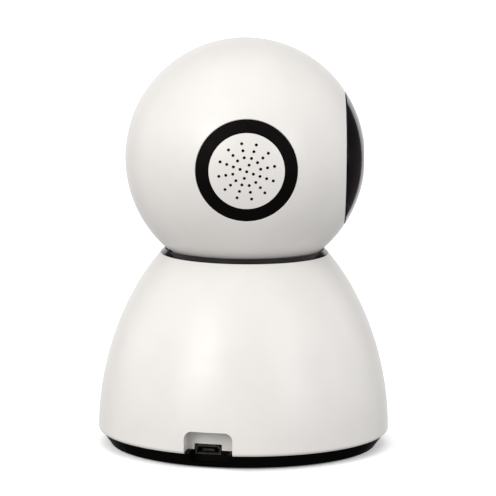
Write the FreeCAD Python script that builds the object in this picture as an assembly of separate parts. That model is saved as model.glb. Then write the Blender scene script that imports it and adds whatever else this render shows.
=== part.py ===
"""Baby monitor camera: a round pan-and-tilt head on a domed base.

Millimetres. +Z up, origin at the centre of the base on the surface it stands on.
The head faces -Y at rest and tilts about the X axis. The power inlet is near -X.
Head pieces are drawn about the centre of the ball and lifted to HEAD_Z at the end.
"""

import FreeCAD, Part
import os
from math import acos, asin, atan, cos, degrees, hypot, pi, radians, sin, sqrt

V = FreeCAD.Vector

# Driving dimensions of the outside
BASE_R = 45.0
BALL_R = 36.9
HEAD_Z = 89.0
WALL = 2.0
BALL_WALL = 1.8
BALL_IN = BALL_R - BALL_WALL

# Dome of the base: two tangent arcs from a vertical start up to the neck opening
DOME_START_Z = 4.73
DOME_LOW_R = 90.65
DOME_LOW_SWEEP = 26.25
DOME_HIGH_R = 73.36
NECK_R = 26.0
SHELL_FOOT_Z = 4.4
SHELL_FOOT_R = 44.25
ROLL_TOP_Z = 5.4
ROLL_R = 1.1
OPENING_R = 25.3

# Bottom cover, feet and their screws
FLOOR_Z = 0.25
FLOOR_TOP = 2.2
FLOOR_R = 41.15
FOOT_PLACE_R = 36.0
FOOT_R = 4.5
FOOT_TOP = 1.0
COVER_BOSS_R = 3.2
COVER_SCREW_ANGLES = (45.0, 135.0, 225.0, 315.0)
TRIPOD_R = 2.55

# Power inlet: its recess points INLET_ANGLE round from +X; x is outwards, y is across
INLET_ANGLE = 165.5
RECESS_HALF = 7.5
RECESS_BACK = 39.0
RECESS_TOP = 11.4
RECESS_CORNER = 2.5
RECESS_LINER = 1.5
SPLIT_Z = 5.0
NOTCH_HALF = 6.0
NOTCH_Z = 1.6
SOCKET_Y = -1.3
SOCKET_Z = 5.1
LIP_WIDTH = 8.0
LIP_HEIGHT = 3.0
SOCKET_WIDTH = 7.4
SOCKET_HEIGHT = 2.4
BOARD_LOW = 6.3
BOARD_TOP = 7.5
BOARD_POSTS = ((18.0, -9.5), (18.0, 9.5), (33.5, 10.0))
RESET_PLACE = (25.0, 4.0)

# Deck, pan bearing and pan gears
DECK_LOW = 38.0
DECK_TOP = 40.5
DECK_R = 34.5
DECK_RIB = 0.8
POST_PLACE_R = 29.0
POST_ANGLES = (0.0, 90.0, 180.0, 270.0)
HUB_R = 10.4
HUB_TOP = 45.9
SPIGOT_R = 7.95
SPIGOT_LOW = 35.5
BEARING_R = 8.0
CABLE_R = 5.5
DISC_R = 21.0
DISC_LOW = 46.5
DISC_TOP = 49.0
CLIP_LOW = 36.7
CLIP_TOP = 37.7
CLIP_GROOVE_R = 7.3
CLIP_R = 10.0

# Gear trains: module 0.5, 20 degree involute
MODULE = 0.5
PRESSURE = radians(20.0)
TOOTH_THINNING = 0.06
PINION_TEETH = 18
PAN_TEETH = 72
TILT_TEETH = 48
PAN_CENTRES = MODULE * (PAN_TEETH + PINION_TEETH) / 2
TILT_CENTRES = MODULE * (TILT_TEETH + PINION_TEETH) / 2
PAN_MOTOR_ANGLE = -60.0
SHAFT_R = 1.5
MOTOR_R = 10.0
MOTOR_LENGTH = 14.0
MOTOR_OFFSET = 5.0
MOTOR_EAR = 12.5

# Yoke that carries the ball, and the shield behind the ball's slot
YOKE_FLANGE_TOP = 50.6
YOKE_SCREWS = [(x, y) for x in (-11.5, 11.5) for y in (-4.5, 4.5)]
NECK_HALF_X = 8.5
NECK_HALF_Y = 4.5
NECK_CABLE_R = 2.4
BAR_LOW = -27.0
BAR_TOP = -24.5
ARM_IN = 18.0
ARM_OUT = 20.0
ARM_HALF = 6.0
TRUNNION_R = 4.0
TRUNNION_END = 25.0
TILT_MOTOR_LEAN = 45.0
SHIELD_OUT = 34.6
SHIELD_IN = 33.4
SHIELD_HALF = 12.0
SHIELD_SWEEP = 56.0

# Ball: ears on the tilt axis, slot for the neck, face opening
EAR_RING_OUT = 15.2
EAR_RING_IN = 11.4
EAR_SEAT_R = 15.25
RIM_ROUND = 0.2
EAR_CUP_R = 16.8
EAR_CAVITY_R = 13.2
EAR_SEAT_X = 30.8
EAR_FLANGE_X = 31.8
HUB_IN = 23.0
HUB_OUT = 24.6
HUB_BORE = 4.06
GRILLE_WALL = 1.6
HOLE_R = 0.475
HOLE_PITCH = 2.1
SLOT_HALF = 9.3
SLOT_FRONT = 23.0
SLOT_BACK = 40.0
FACE_R = 20.85
FACE_BEVEL = 0.4
EAR_ROUND = 0.25
SEAM_BEVEL = 0.12
LEDGE_R = 19.6
LEDGE_Y = -29.6
SEAM_BOSS_R = 2.2
SEAM_BOSS_PLACE = 31.2
SEAM_BOSS_ANGLES = (12.0, 55.0, 128.0)

# Face: visor, lamps, lens and boards; y is negative towards the front
VISOR_R = 20.45
VISOR_IN = 35.4
VISOR_BACK = -29.65
VISOR_FLAT = -36.35
WINDOW_R = 6.0
FRAME_BACK = -24.6
FRAME_FRONT = -26.6
FRAME_R = 19.7
FRAME_LUG_X = 20.4
LAMP_BOARD_BACK = -27.2
LAMP_BOARD_FRONT = -28.4
LAMP_RING = 11.7
LAMP_COUNT = 8
MAIN_BACK = -8.0
MAIN_FRONT = -9.2
STANDOFFS = [(x, z) for x in (-13.0, 13.0) for z in (-12.0, 12.0)]
LAMP_BOARD_PADS = [(0.0, 14.0), (0.0, -14.0)]
HOLDER_FRONT = -19.0
FILTER_BACK = -13.5
FILTER_FRONT = -14.7
FILTER_TRAVEL = 5.0
BARREL_FRONT = -33.9
BARREL_R = 7.0


# ---------------------------------------------------------------- basic solids


def rod(axis, radius, low, high, at=(0.0, 0.0)):
    """Cylinder along one axis; at gives its place on the other two axes in X, Y, Z order."""
    start = {"x": V(low, *at), "y": V(at[0], low, at[1]), "z": V(*at, low)}[axis]
    along = {"x": V(1, 0, 0), "y": V(0, 1, 0), "z": V(0, 0, 1)}[axis]
    return Part.makeCylinder(radius, high - low, start, along)


def tube(axis, outer, inner, low, high, at=(0.0, 0.0)):
    return rod(axis, outer, low, high, at).cut(rod(axis, inner, low, high, at))


def block(x, y, z):
    """Box from three (low, high) pairs."""
    return Part.makeBox(x[1] - x[0], y[1] - y[0], z[1] - z[0], V(x[0], y[0], z[0]))


def ball(radius):
    return Part.makeSphere(radius)


def joined(*pieces):
    return pieces[0].fuse(list(pieces[1:])).removeSplitter()


def group(solids):
    return Part.makeCompound(solids)


def polar(radius, angle):
    return radius * cos(radians(angle)), radius * sin(radians(angle))


def turned(edges):
    """Solid of revolution about Z from edges that close in the XZ plane."""
    wire = Part.Wire(Part.__sortEdges__(edges))
    return Part.Face(wire).revolve(V(0, 0, 0), V(0, 0, 1), 360)


def line(a, b):
    return Part.makeLine(V(a[0], 0, a[1]), V(b[0], 0, b[1]))


def lathe(points):
    """Solid of revolution about Z from the corners of its (radius, height) outline."""
    closed = points + points[:1]
    return turned([line(a, b) for a, b in zip(closed, closed[1:])])


def arc(centre, radius, start, end):
    """Arc in the XZ plane about centre, between two angles from +X towards +Z."""
    ends = [start, (start + end) / 2, end]
    spots = [V(centre[0] + polar(radius, a)[0], 0, centre[1] + polar(radius, a)[1]) for a in ends]
    return Part.Arc(*spots).toShape()


def spun(shape, angle, axis=V(0, 0, 1)):
    shape = shape.copy()
    shape.rotate(V(0, 0, 0), axis, angle)
    return shape


def moved(shape, x=0.0, y=0.0, z=0.0):
    shape = shape.copy()
    shape.translate(V(x, y, z))
    return shape


def mirrored(shape):
    """The same piece on the other side of the middle plane x = 0."""
    return shape.mirror(V(0, 0, 0), V(1, 0, 0))


def lifted(shape):
    return moved(shape, z=HEAD_Z)


def screw(axis, head_from, head_to, tip, at, head_r=2.1, shank_r=1.2):
    """Pan head with a hex recess, and a plain shank; the head lies away from the tip."""
    low, high = sorted((head_from, head_to))
    head = rod(axis, head_r, low, high, at)
    start, end = sorted((head_to, tip))
    recess_end = head_from + (head_to - head_from) * 0.6
    recess = rod(axis, 0.7, *sorted((head_from, recess_end)), at)
    return joined(head, rod(axis, shank_r, start, end, at)).cut(recess)


# ---------------------------------------------------------------- gears


def spur_gear(teeth, width, bore, turn):
    """Involute gear about Z from z = 0 to width, with one tooth centred at angle turn."""
    pitch_r = MODULE * teeth / 2
    base_r = pitch_r * cos(PRESSURE)
    tip_r = pitch_r + MODULE
    root_r = pitch_r - 1.25 * MODULE

    def involute(radius):
        unwound = sqrt((radius / base_r) ** 2 - 1)
        return unwound - atan(unwound)

    half_tooth = pi / (2 * teeth) - TOOTH_THINNING / (2 * pitch_r)
    start_r = max(base_r, root_r)
    flank = [start_r + (tip_r - start_r) * step / 3 for step in range(4)]
    spread = [half_tooth + involute(pitch_r) - involute(r) for r in flank]
    rise = [(root_r, spread[0])] + list(zip(flank, spread))
    tooth = [(r, -a) for r, a in rise] + [(r, a) for r, a in reversed(rise)]
    corners = []
    for index in range(teeth):
        centre = radians(turn) + 2 * pi * index / teeth
        corners += [V(r * cos(centre + a), r * sin(centre + a), 0) for r, a in tooth]
    face = Part.Face(Part.makePolygon(corners + corners[:1]))
    return face.extrude(V(0, 0, width)).cut(rod("z", bore, 0, width))


def across(gear):
    """Turns a gear drawn about Z so that it lies about X; its angle then runs from -Z to +Y."""
    return spun(gear, 90, V(0, 1, 0))


# ---------------------------------------------------------------- base shell and cover


def dome_centres():
    """Centres of the two arcs of the dome, which share a tangent where they meet."""
    low = (BASE_R - DOME_LOW_R, DOME_START_Z)
    shift = polar(DOME_LOW_R - DOME_HIGH_R, DOME_LOW_SWEEP)
    return low, (low[0] + shift[0], low[1] + shift[1])


def dome_end_angle():
    high = dome_centres()[1]
    return degrees(acos((NECK_R - high[0]) / DOME_HIGH_R))


def dome_outside():
    low, high = dome_centres()
    begin = degrees(asin((ROLL_TOP_Z - DOME_START_Z) / DOME_LOW_R))
    side_r = low[0] + polar(DOME_LOW_R, begin)[0]
    end = dome_end_angle()
    top = high[1] + polar(DOME_HIGH_R, end)[1]
    roll_centre = (side_r - ROLL_R, ROLL_TOP_Z)
    roll_end = -degrees(asin((ROLL_TOP_Z - SHELL_FOOT_Z) / ROLL_R))
    foot_r = roll_centre[0] + polar(ROLL_R, roll_end)[0]
    edges = [
        line((0, SHELL_FOOT_Z), (foot_r, SHELL_FOOT_Z)),
        arc(roll_centre, ROLL_R, roll_end, 0),
        arc(low, DOME_LOW_R, begin, DOME_LOW_SWEEP),
        arc(high, DOME_HIGH_R, DOME_LOW_SWEEP, end),
        line((NECK_R, top), (0, top)),
        line((0, top), (0, SHELL_FOOT_Z)),
    ]
    return turned(edges)


def dome_inside():
    low, high = dome_centres()
    end = dome_end_angle()
    inner_r = BASE_R - WALL
    x, z = polar(DOME_HIGH_R - WALL, end)
    top = (high[0] + x, high[1] + z)
    edges = [
        line((0, 0), (inner_r, 0)),
        line((inner_r, 0), (inner_r, DOME_START_Z)),
        arc(low, DOME_LOW_R - WALL, 0, DOME_LOW_SWEEP),
        arc(high, DOME_HIGH_R - WALL, DOME_LOW_SWEEP, end),
        line(top, (0, top[1])),
        line((0, top[1]), (0, 0)),
    ]
    return turned(edges)


def recess_space():
    """The plug's space: open outwards and downwards, with rounded upper corners."""
    space = block((RECESS_BACK, BASE_R + 5), (-RECESS_HALF, RECESS_HALF), (-1, RECESS_TOP))
    upper = [
        edge
        for edge in space.Edges
        if edge.CenterOfMass.z > RECESS_TOP - 0.01 and abs(edge.CenterOfMass.y) > RECESS_HALF - 0.01
    ]
    return space.makeFillet(RECESS_CORNER, upper)


def socket_hole():
    half = LIP_WIDTH / 2 + 0.25
    rise = LIP_HEIGHT / 2 + 0.2
    return block((30, 41), (SOCKET_Y - half, SOCKET_Y + half), (SOCKET_Z - rise, SOCKET_Z + rise))


def base_shell():
    outside = dome_outside()
    shell = outside.cut(dome_inside()).cut(rod("z", OPENING_R, 40, 70))
    liner_half = RECESS_HALF + RECESS_LINER
    liner = block(
        (RECESS_BACK - RECESS_LINER, BASE_R),
        (-liner_half, liner_half),
        (SPLIT_Z, RECESS_TOP + RECESS_LINER),
    )
    shell = shell.fuse(spun(liner, INLET_ANGLE).common(outside))
    for angle in POST_ANGLES:
        post = tube("z", 2.5, 1.0, DECK_TOP, 56, polar(POST_PLACE_R, angle))
        shell = shell.fuse(post.common(outside))
    for angle in COVER_SCREW_ANGLES:
        boss = rod("z", COVER_BOSS_R, SHELL_FOOT_Z, 14, (FOOT_PLACE_R, 0))
        web = block((FOOT_PLACE_R, BASE_R), (-0.8, 0.8), (SHELL_FOOT_Z, 14))
        bore = rod("z", 1.0, SHELL_FOOT_Z, 12, (FOOT_PLACE_R, 0))
        shell = shell.fuse(spun(boss.fuse(web), angle).common(outside)).cut(spun(bore, angle))
    openings = [spun(recess_space(), INLET_ANGLE), spun(socket_hole(), INLET_ANGLE)]
    shell = shell.cut(openings).removeSplitter()
    rim = [
        edge
        for edge in shell.Edges
        if edge.Closed and abs(edge.BoundBox.XMax - NECK_R) < 0.01 and edge.BoundBox.ZMin > 59
    ]
    return shell.makeFillet(0.3, rim)


def cover_envelope():
    """Outside of the bottom cover: a flared wall that carries on the shell's foot."""
    return lathe(
        [
            (0, FLOOR_Z),
            (FLOOR_R, FLOOR_Z),
            (SHELL_FOOT_R - 0.15, SHELL_FOOT_Z),
            (42.7, SHELL_FOOT_Z),
            (42.7, 6.8),
            (0, 6.8),
        ]
    )


def bottom_cover():
    cover = cover_envelope().cut(rod("z", FLOOR_R - 1.6, FLOOR_TOP, 3.2)).cut(rod("z", 40.9, 3.2, 8))
    tab_half = RECESS_HALF - 0.15
    tab = block((RECESS_BACK - 1.4, BASE_R), (-tab_half, tab_half), (FLOOR_Z, SPLIT_Z - 0.05))
    limit = lathe([(0, FLOOR_Z), (FLOOR_R, FLOOR_Z), (SHELL_FOOT_R, SHELL_FOOT_Z), (44.0, 5), (0, 5)])
    gap = block((30, 50), (-RECESS_HALF - 1.7, RECESS_HALF + 1.7), (SHELL_FOOT_Z, 8))
    notch = block((RECESS_BACK, 50), (-NOTCH_HALF, NOTCH_HALF), (NOTCH_Z, 8))
    cover = cover.cut(spun(gap, INLET_ANGLE)).fuse(spun(tab, INLET_ANGLE).common(limit))
    cover = cover.cut([spun(notch, INLET_ANGLE), spun(socket_hole(), INLET_ANGLE)])
    for angle in COVER_SCREW_ANGLES:
        spot = polar(FOOT_PLACE_R, angle)
        notch_for_web = spun(block((38, 44), (-1.0, 1.0), (SHELL_FOOT_Z, 8)), angle)
        cover = cover.fuse(rod("z", COVER_BOSS_R + 0.6, FLOOR_TOP, SHELL_FOOT_Z, spot))
        clear_boss = rod("z", COVER_BOSS_R + 0.2, SHELL_FOOT_Z, 8, spot)
        foot_seat = rod("z", FOOT_R + 0.1, FLOOR_Z, FOOT_TOP, spot)
        head_seat = rod("z", 2.4, FOOT_TOP, 2.4, spot)
        cover = cover.cut([notch_for_web, clear_boss, foot_seat, head_seat, rod("z", 1.35, 2, 5, spot)])
    centre = rod("z", 6.5, FLOOR_TOP, 9.5)
    cover = cover.fuse(centre).cut(rod("z", 4.0, FLOOR_Z, 9.2))
    for x, y in BOARD_POSTS:
        spot = inlet_spot(x, y)
        cover = cover.fuse(rod("z", 2.2, FLOOR_TOP, BOARD_LOW, spot)).cut(rod("z", 0.9, 3, BOARD_LOW, spot))
    cover = cover.cut(rod("z", 2.3, FLOOR_Z, FLOOR_TOP, inlet_spot(*RESET_PLACE)))
    return cover.removeSplitter()


def rubber_feet():
    feet = []
    for angle in COVER_SCREW_ANGLES:
        foot = rod("z", FOOT_R, 0, FOOT_TOP, polar(FOOT_PLACE_R, angle))
        low_edge = [e for e in foot.Edges if e.Closed and e.BoundBox.ZMax < 0.01]
        feet.append(foot.makeFillet(0.35, low_edge))
    return group(feet)


def cover_screws():
    spots = [polar(FOOT_PLACE_R, angle) for angle in COVER_SCREW_ANGLES]
    return group([screw("z", 1.1, 2.35, 10.5, spot, shank_r=1.0) for spot in spots])


def tripod_insert():
    """Brass bush with a knurled-style ribbed outside, moulded into the cover."""
    bush = rod("z", 3.9, 0.7, 9.1)
    grooves = [tube("z", 4.2, 3.6, z, z + 0.5) for z in (3.0, 5.0, 7.0)]
    return bush.cut(rod("z", TRIPOD_R, 0, 10)).cut(grooves)


def collar_ring():
    return lathe(
        [
            (24.4, 55.0),
            (25.22, 55.0),
            (25.22, 59.62),
            (25.88, 59.62),
            (25.88, 59.85),
            (24.75, 60.95),
            (24.5, 61.0),
            (24.4, 60.85),
        ]
    )


# ---------------------------------------------------------------- power inlet and its board


def inlet_spot(x, y):
    """Plan position of a point given in the inlet's own frame."""
    angle = radians(INLET_ANGLE)
    return x * cos(angle) - y * sin(angle), x * sin(angle) + y * cos(angle)


def power_board():
    board = block((14.0, 37.2), (-13.0, 13.0), (BOARD_LOW, BOARD_TOP))
    board = board.cut([rod("z", 1.1, 6, 8, spot) for spot in BOARD_POSTS])
    return spun(board, INLET_ANGLE)


def power_board_parts():
    """Regulator, coil, two can capacitors and two cable sockets on top of the board."""
    top = BOARD_TOP
    pieces = [
        block((22, 26), (-11, -6), (top, top + 1.4)),
        block((27, 32), (-10.5, -5.5), (top, top + 3.0)),
        rod("z", 2.5, top, top + 5.4, (24.5, 9.0)),
        rod("z", 2.0, top, top + 4.4, (29.5, 5.5)),
        block((15, 19), (-5.5, 0.5), (top, top + 4.2)),
        block((15, 19), (2.0, 6.0), (top, top + 4.2)),
    ]
    return spun(group(pieces), INLET_ANGLE)


def board_screws():
    screws = [screw("z", BOARD_TOP + 1.0, BOARD_TOP, 3.4, spot, 1.8, 0.9) for spot in BOARD_POSTS]
    return spun(group(screws), INLET_ANGLE)


def bevelled_slot(width, height, cut, x):
    """Bar along x with its two upper corners cut off, the outline of the inlet's mouth."""
    half = width / 2
    low, high = SOCKET_Z - height / 2, SOCKET_Z + height / 2
    outline = [(-half, low), (half, low), (half, high - cut), (half - cut, high), (cut - half, high)]
    outline.append((-half, high - cut))
    corners = [V(x[0], SOCKET_Y + y, z) for y, z in outline + outline[:1]]
    return Part.Face(Part.makePolygon(corners)).extrude(V(x[1] - x[0], 0, 0))


def usb_socket_shell():
    body = bevelled_slot(SOCKET_WIDTH, SOCKET_HEIGHT, 0.8, (34.0, 38.6))
    lip = bevelled_slot(LIP_WIDTH, LIP_HEIGHT, 0.9, (38.5, RECESS_BACK))
    hollow = bevelled_slot(SOCKET_WIDTH - 0.6, SOCKET_HEIGHT - 0.6, 0.6, (34.4, 40.0))
    return spun(joined(body, lip).cut(hollow), INLET_ANGLE)


def usb_socket_tongue():
    tongue = block((34.4, 38.4), (SOCKET_Y - 1.9, SOCKET_Y + 1.9), (SOCKET_Z - 0.55, SOCKET_Z + 0.05))
    back = block((34.4, 35.2), (SOCKET_Y - 3.0, SOCKET_Y + 3.0), (SOCKET_Z - 0.9, SOCKET_Z + 0.5))
    return spun(joined(tongue, back), INLET_ANGLE)


def reset_switch():
    x, y = RESET_PLACE
    body = block((x - 2.2, x + 2.2), (y - 2.2, y + 2.2), (5.3, BOARD_LOW))
    return spun(body, INLET_ANGLE)


def reset_button():
    spot = inlet_spot(*RESET_PLACE)
    return joined(rod("z", 2.0, 0.9, 4.5, spot), rod("z", 3.0, 2.5, 3.2, spot))


# ---------------------------------------------------------------- deck and pan drive


def deck_plate():
    plate = rod("z", DECK_R, DECK_LOW, DECK_TOP).fuse(rod("z", HUB_R, DECK_TOP, HUB_TOP))
    rib = tube("z", DECK_R, DECK_R - DECK_RIB, DECK_LOW - 2.5, DECK_LOW)
    holes = [rod("z", BEARING_R, 30, 50)]
    holes += [rod("z", 1.35, 30, 50, polar(POST_PLACE_R, a)) for a in POST_ANGLES]
    holes.append(rod("z", 5.6, 30, 50, polar(PAN_CENTRES, PAN_MOTOR_ANGLE)))
    holes += [rod("z", 0.9, 30, 50, spot) for spot in pan_ear_spots()]
    holes.append(rod("z", 3.0, 30, 50, polar(22.0, 135.0)))
    return joined(plate, rib).cut(holes)


def deck_screws():
    spots = [polar(POST_PLACE_R, angle) for angle in POST_ANGLES]
    return group([screw("z", 36.7, DECK_LOW, 48.0, spot, shank_r=1.0) for spot in spots])


def thrust_washer():
    return tube("z", HUB_R, BEARING_R + 0.1, HUB_TOP, DISC_LOW - 0.05)


def pan_can_spot():
    """Centre of the pan motor's can; its output shaft stands beside it."""
    reach = hypot(PAN_CENTRES + 0.5, MOTOR_OFFSET)
    return polar(reach, PAN_MOTOR_ANGLE + degrees(asin(MOTOR_OFFSET / reach)))


def pan_ear_spots():
    frame = [(PAN_CENTRES + 0.5, MOTOR_OFFSET + side * MOTOR_EAR) for side in (-1, 1)]
    angle = radians(PAN_MOTOR_ANGLE)
    return [(x * cos(angle) - y * sin(angle), x * sin(angle) + y * cos(angle)) for x, y in frame]


def pan_motor():
    x, y = PAN_CENTRES + 0.5, MOTOR_OFFSET
    can = rod("z", MOTOR_R, DECK_LOW - MOTOR_LENGTH, DECK_LOW, (x, y))
    ears = block((x - 2.5, x + 2.5), (y - MOTOR_EAR, y + MOTOR_EAR), (DECK_LOW - 1, DECK_LOW))
    ends = [rod("z", 2.5, DECK_LOW - 1, DECK_LOW, (x, y + side * MOTOR_EAR)) for side in (-1, 1)]
    terminal = block((x + 7, x + 11.5), (y - 4, y + 4), (DECK_LOW - 12, DECK_LOW - 3))
    boss = rod("z", 3.0, DECK_LOW, DECK_LOW + 1.5, (PAN_CENTRES, 0))
    motor = joined(can, ears, terminal, boss, *ends)
    motor = motor.cut([rod("z", 1.1, 30, 45, (x, y + side * MOTOR_EAR)) for side in (-1, 1)])
    motor = motor.cut(rod("z", SHAFT_R + 0.05, DECK_LOW - 4, 45, (PAN_CENTRES, 0)))
    return spun(motor, PAN_MOTOR_ANGLE)


def pan_motor_screws():
    low = DECK_LOW - 1.0
    return group([screw("z", low - 1.2, low, 40.3, spot, 1.9, 0.85) for spot in pan_ear_spots()])


def pan_motor_shaft():
    return rod("z", SHAFT_R, DECK_LOW - 3.7, 46.0, polar(PAN_CENTRES, PAN_MOTOR_ANGLE))


def pan_pinion():
    gear = spur_gear(PINION_TEETH, 3.8, SHAFT_R, PAN_MOTOR_ANGLE + 180 + 180 / PINION_TEETH)
    x, y = polar(PAN_CENTRES, PAN_MOTOR_ANGLE)
    return moved(gear, x, y, 42.3)


# ---------------------------------------------------------------- turntable and yoke


def turntable_disc():
    disc = joined(rod("z", DISC_R, DISC_LOW, DISC_TOP), rod("z", SPIGOT_R, SPIGOT_LOW, DISC_LOW))
    groove = tube("z", SPIGOT_R + 1, CLIP_GROOVE_R, CLIP_LOW, CLIP_TOP)
    holes = [rod("z", 1.0, DISC_LOW, DISC_TOP, spot) for spot in YOKE_SCREWS]
    return disc.cut([rod("z", CABLE_R, 30, 50), groove] + holes)


def pan_gear():
    return moved(spur_gear(PAN_TEETH, 4.0, 11.0, PAN_MOTOR_ANGLE), z=DISC_LOW - 4.0)


def pan_retaining_ring():
    ring = tube("z", CLIP_R, CLIP_GROOVE_R, CLIP_LOW, CLIP_TOP)
    return ring.cut(block((0, CLIP_R + 1), (-3.0, 3.0), (CLIP_LOW, CLIP_TOP)))


def tilt_can_spot():
    """Plan (y, z) of the tilt motor's can about the tilt axis."""
    reach = TILT_CENTRES - MOTOR_OFFSET
    return reach * cos(radians(TILT_MOTOR_LEAN)), -reach * sin(radians(TILT_MOTOR_LEAN))


def tilt_shaft_spot():
    return TILT_CENTRES * cos(radians(TILT_MOTOR_LEAN)), -TILT_CENTRES * sin(radians(TILT_MOTOR_LEAN))


def tilt_ear_spots():
    y, z = tilt_can_spot()
    step = MOTOR_EAR * cos(radians(TILT_MOTOR_LEAN))
    return [(y + side * step, z + side * step) for side in (-1, 1)]


def yoke_bracket():
    flange_z = YOKE_FLANGE_TOP - HEAD_Z
    flange = block((-14, 14), (-7, 7), (DISC_TOP - HEAD_Z, flange_z))
    neck = block((-NECK_HALF_X, NECK_HALF_X), (-NECK_HALF_Y, NECK_HALF_Y), (flange_z, BAR_TOP))
    bar = block((-ARM_OUT, ARM_OUT), (-ARM_HALF, ARM_HALF), (BAR_LOW, BAR_TOP))
    pieces = [flange, neck, bar]
    for side in (-1, 1):
        span = sorted((side * ARM_IN, side * ARM_OUT))
        pieces.append(block(span, (-ARM_HALF, ARM_HALF), (BAR_LOW, 0)))
        pieces.append(rod("x", ARM_HALF, span[0], span[1]))
        pieces.append(rod("x", TRUNNION_R, *sorted((side * ARM_OUT, side * TRUNNION_END))))
    pieces.append(rod("x", MOTOR_R + 1, ARM_IN, ARM_OUT, tilt_can_spot()))
    pieces += [rod("x", 3.0, ARM_IN, ARM_OUT, spot) for spot in tilt_ear_spots()]
    yoke = joined(*pieces)
    cable_way = block((-6.5, 6.5), (-2.8, 2.8), (DISC_TOP - HEAD_Z, BAR_TOP))
    holes = [cable_way, rod("x", SHAFT_R + 0.6, ARM_IN, ARM_OUT, tilt_shaft_spot())]
    holes += [rod("z", 1.2, DISC_TOP - HEAD_Z, flange_z, spot) for spot in YOKE_SCREWS]
    holes += [rod("x", 0.9, ARM_IN, ARM_OUT, spot) for spot in tilt_ear_spots()]
    holes += [rod("x", 1.2, *sorted((side * 16, side * 26))) for side in (-1, 1)]
    return lifted(yoke.cut(holes))


def yoke_screws():
    top = YOKE_FLANGE_TOP
    return group([screw("z", top + 1.2, top, 46.7, spot, shank_r=1.0) for spot in YOKE_SCREWS])


def neck_cable():
    """The stretch of the head's cable that stands in the neck."""
    return rod("z", NECK_CABLE_R, SPIGOT_LOW - 1.5, HEAD_Z + BAR_TOP + 2.0)


def slot_wedge(front, back, half, reach=60.0):
    """Prism below the tilt axis between two angles from straight down, front is towards -Y."""
    turns = [-back, -back / 2, 0.0, front / 2, front]
    rim = [V(-half, -reach * sin(radians(a)), -reach * cos(radians(a))) for a in turns]
    corners = [V(-half, 0, 0)] + rim + [V(-half, 0, 0)]
    return Part.Face(Part.makePolygon(corners)).extrude(V(2 * half, 0, 0))


def slot_shield():
    wedge = slot_wedge(SHIELD_SWEEP, SHIELD_SWEEP, SHIELD_HALF)
    shield = ball(SHIELD_OUT).cut(ball(SHIELD_IN)).common(wedge)
    neck = block((-NECK_HALF_X, NECK_HALF_X), (-NECK_HALF_Y, NECK_HALF_Y), (-40, -20))
    return lifted(shield.cut(neck))


def tilt_motor():
    y, z = tilt_can_spot()
    can = rod("x", MOTOR_R, ARM_IN - MOTOR_LENGTH, ARM_IN, (y, z))
    ears = [rod("x", 2.5, ARM_IN - 1, ARM_IN, spot) for spot in tilt_ear_spots()]
    strap = block((ARM_IN - 1, ARM_IN), (-2.5, 2.5), (-MOTOR_EAR, MOTOR_EAR))
    strap = moved(spun(strap, -45, V(1, 0, 0)), 0, y, z)
    motor = joined(can, strap, *ears)
    cuts = [rod("x", 1.1, ARM_IN - 1, ARM_IN, spot) for spot in tilt_ear_spots()]
    cuts.append(rod("x", SHAFT_R + 0.05, ARM_IN - 4, ARM_IN, tilt_shaft_spot()))
    return lifted(motor.cut(cuts))


def tilt_motor_screws():
    spots = tilt_ear_spots()
    return lifted(group([screw("x", ARM_IN - 2.1, ARM_IN - 1, ARM_OUT, s, 1.9, 0.85) for s in spots]))


def tilt_motor_shaft():
    return lifted(rod("x", SHAFT_R, ARM_IN - 3.7, HUB_IN - 0.35, tilt_shaft_spot()))


def tilt_pinion():
    turn = 90 - TILT_MOTOR_LEAN + 180 + 180 / PINION_TEETH
    gear = across(spur_gear(PINION_TEETH, 2.2, SHAFT_R, turn))
    y, z = tilt_shaft_spot()
    return lifted(moved(gear, ARM_OUT + 0.45, y, z))


def trunnion_washers():
    washers = [tube("x", 6.0, 1.3, *sorted((s * TRUNNION_END, s * (TRUNNION_END + 0.6)))) for s in (-1, 1)]
    return lifted(group(washers))


def trunnion_screws():
    top = TRUNNION_END + 1.9
    low = top - 1.3
    screws = [screw("x", side * top, side * low, side * 16.5, (0, 0), 2.4, 1.2) for side in (-1, 1)]
    return lifted(group(screws))


# ---------------------------------------------------------------- ball


def ear_cup():
    """Solid boss for the ear on the +X side, before its seats are cut."""
    return rod("x", EAR_CUP_R, HUB_IN, BALL_R).common(ball(BALL_R - 0.5))


def ball_half_left():
    """The +X half of the ball about its own centre."""
    half_space = block((0, 50), (-50, 50), (-50, 50))
    half = ball(BALL_R).cut(ball(BALL_IN)).common(half_space).fuse(ear_cup())
    for angle in SEAM_BOSS_ANGLES:
        boss = rod("x", SEAM_BOSS_R, 0, 30, polar(SEAM_BOSS_PLACE, angle))
        web_out = block((0, 30), (SEAM_BOSS_PLACE, BALL_R), (-0.7, 0.7))
        boss = boss.fuse(spun(web_out, angle, V(1, 0, 0)))
        half = half.fuse(boss.common(ball(BALL_R - 0.5)))
    half = half.fuse(frame_boss())
    cuts = [
        rod("x", EAR_CAVITY_R, HUB_OUT, 40),
        rod("x", EAR_SEAT_R, EAR_SEAT_X, 40),
        rod("x", HUB_BORE, 20, 30),
        rod("y", LEDGE_R, -40, -20),
        rod("y", FACE_R, -40, LEDGE_Y),
        face_bevel(),
        slot_wedge(SLOT_FRONT, SLOT_BACK, SLOT_HALF),
        rod("y", 1.0, FRAME_BACK, -15, (FRAME_LUG_X, 0)),
        seam_bevel(),
    ]
    half = half.cut(cuts).removeSplitter()
    return half.makeFillet(EAR_ROUND, [edge for edge in half.Edges if on_ear_mouth(edge)])


def on_ear_mouth(edge):
    """True for the edge where the ear's seat meets the outside of the ball."""
    start = edge.valueAt(edge.FirstParameter)
    on_ball = abs(start.Length - BALL_R) < 0.001
    return on_ball and start.x > 30 and abs(hypot(start.y, start.z) - EAR_SEAT_R) < 0.001


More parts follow.
